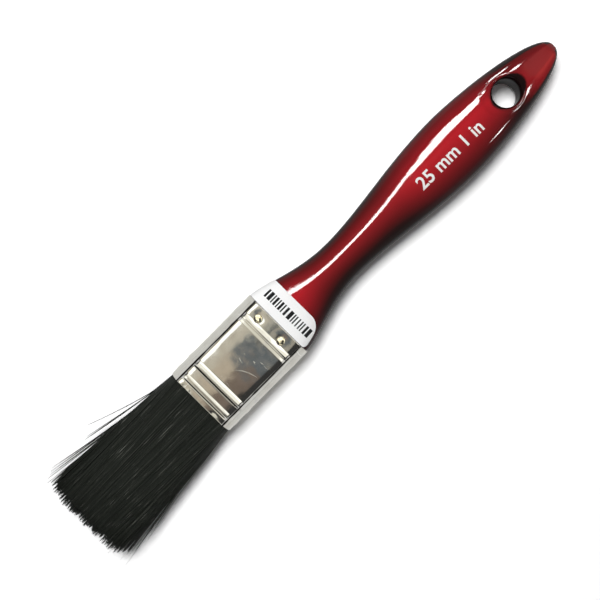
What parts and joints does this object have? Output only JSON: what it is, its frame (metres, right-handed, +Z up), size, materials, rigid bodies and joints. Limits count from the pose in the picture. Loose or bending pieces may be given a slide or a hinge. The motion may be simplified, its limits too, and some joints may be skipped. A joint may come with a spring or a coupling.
{
  "type": "flat paint brush",
  "caption": "Flat paint brush with black bristles in a plated, beaded ferrule nailed to a glossy red waisted handle with a hanging hole.",
  "frame": {"origin": "centre of the footprint, on the surface that the brush lies on", "axes": "+X along the brush from the bristle tips to the handle's end, +Z up out of the front face and along the hanging hole, +Y to the left when looking along +X"},
  "size_m": [0.2152, 0.032, 0.014],
  "materials": {
    "handle_lacquer": "gloss",
    "ferrule_plate": "polished",
    "nail": "polished",
    "resin": "satin",
    "filler_wood": "matte",
    "bristle": "satin",
    "label_paper": "satin"
  },
  "bodies": {
    "handle_and_ferrule": {"handle": "handle_lacquer", "ferrule": "ferrule_plate", "front_nail_left": "nail", "front_nail_right": "nail", "back_nail_left": "nail", "back_nail_right": "nail", "bristle_setting": "resin", "filler_strip": "filler_wood", "front_bristle_roots": "bristle", "back_bristle_roots": "bristle", "stock_label": "label_paper"},
    "bristles": {"front_bristles": "bristle", "back_bristles": "bristle"}
  },
  "joints": [
    {"name": "bristle_flex", "type": "hinge", "parent": "handle_and_ferrule", "child": "bristles", "pos_m": [-0.0549, 0, 0.007], "axis": [0, 1, 0], "range_deg": [-2.5, 35], "stiffness_Nm_per_rad": 0.14}
  ]
}
